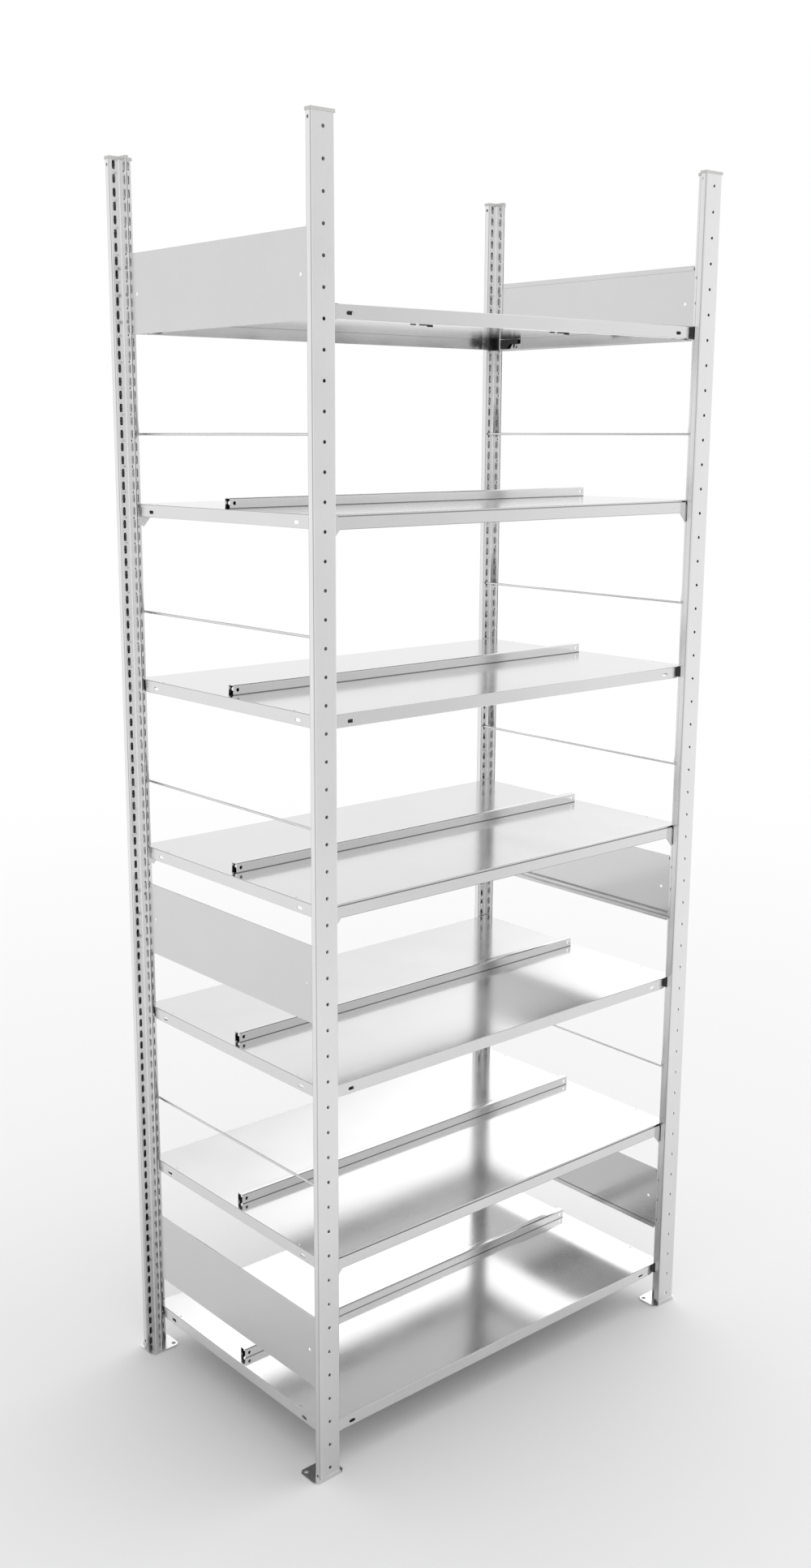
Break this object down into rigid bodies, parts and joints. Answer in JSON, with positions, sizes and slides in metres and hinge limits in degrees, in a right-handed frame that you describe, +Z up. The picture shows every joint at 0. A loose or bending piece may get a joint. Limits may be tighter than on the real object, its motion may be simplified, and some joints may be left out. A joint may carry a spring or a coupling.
{
  "type": "shelving unit",
  "caption": "Tall office shelving unit: slotted T-section steel posts, lift-off folded steel shelves, middle stop rails, end rods and end panels.",
  "frame": {"origin": "on the floor, at the middle of the unit's footprint", "axes": "+Z up, +X along the shelves to the right as seen from the front, +Y from the front to the back"},
  "size_m": [1.077, 0.6374, 2.5035],
  "materials": {
    "upright_steel": "zinc coated, satin",
    "foot_steel": "zinc coated, satin",
    "shelf_steel": "zinc coated, smooth",
    "rail_steel": "zinc coated, smooth",
    "panel_steel": "zinc coated, smooth",
    "rod_steel": "bright drawn wire",
    "cap_plastic": "matte",
    "clip_plastic": "matte"
  },
  "bodies": {
    "frame": {"upright_front_left": "upright_steel", "upright_front_right": "upright_steel", "upright_rear_left": "upright_steel", "upright_rear_right": "upright_steel", "cap_front_left": "cap_plastic", "cap_front_right": "cap_plastic", "cap_rear_left": "cap_plastic", "cap_rear_right": "cap_plastic", "foot_front_left": "foot_steel", "foot_front_right": "foot_steel", "foot_rear_left": "foot_steel", "foot_rear_right": "foot_steel", "beam_front_2": "shelf_steel", "beam_rear_2": "shelf_steel", "beam_front_4": "shelf_steel", "beam_rear_4": "shelf_steel", "beam_front_6": "shelf_steel", "beam_rear_6": "shelf_steel", "shelf_clips_1": "clip_plastic", "shelf_clips_3": "clip_plastic", "shelf_clips_5": "clip_plastic", "shelf_clips_7": "clip_plastic", "end_panel_left_low": "panel_steel", "end_panel_left_middle": "panel_steel", "end_panel_left_top": "panel_steel", "end_panel_right_low": "panel_steel", "end_panel_right_middle": "panel_steel", "end_panel_right_top": "panel_steel", "end_rod_left_2": "rod_steel", "end_rod_left_3": "rod_steel", "end_rod_left_4": "rod_steel", "end_rod_left_5": "rod_steel", "end_rod_left_6": "rod_steel", "end_rod_right_2": "rod_steel", "end_rod_right_3": "rod_steel", "end_rod_right_4": "rod_steel", "end_rod_right_5": "rod_steel", "end_rod_right_6": "rod_steel"},
    "shelf_body_1": {"shelf_1": "shelf_steel", "stop_rail_1": "rail_steel"},
    "shelf_body_2": {"shelf_2": "shelf_steel", "stop_rail_2": "rail_steel"},
    "shelf_body_3": {"shelf_3": "shelf_steel", "stop_rail_3": "rail_steel"},
    "shelf_body_4": {"shelf_4": "shelf_steel", "stop_rail_4": "rail_steel"},
    "shelf_body_5": {"shelf_5": "shelf_steel", "stop_rail_5": "rail_steel"},
    "shelf_body_6": {"shelf_6": "shelf_steel", "stop_rail_6": "rail_steel"},
    "shelf_body_7": {"shelf_7": "shelf_steel"}
  },
  "joints": [
    {"name": "shelf_lift_1", "type": "slide", "parent": "frame", "child": "shelf_body_1", "axis": [0, 0, 1], "range_m": [0, 0.12]},
    {"name": "shelf_lift_2", "type": "slide", "parent": "frame", "child": "shelf_body_2", "axis": [0, 0, 1], "range_m": [0, 0.12]},
    {"name": "shelf_lift_3", "type": "slide", "parent": "frame", "child": "shelf_body_3", "axis": [0, 0, 1], "range_m": [0, 0.12]},
    {"name": "shelf_lift_4", "type": "slide", "parent": "frame", "child": "shelf_body_4", "axis": [0, 0, 1], "range_m": [0, 0.12]},
    {"name": "shelf_lift_5", "type": "slide", "parent": "frame", "child": "shelf_body_5", "axis": [0, 0, 1], "range_m": [0, 0.12]},
    {"name": "shelf_lift_6", "type": "slide", "parent": "frame", "child": "shelf_body_6", "axis": [0, 0, 1], "range_m": [0, 0.12]},
    {"name": "shelf_lift_7", "type": "slide", "parent": "frame", "child": "shelf_body_7", "axis": [0, 0, 1], "range_m": [0, 0.12]}
  ]
}
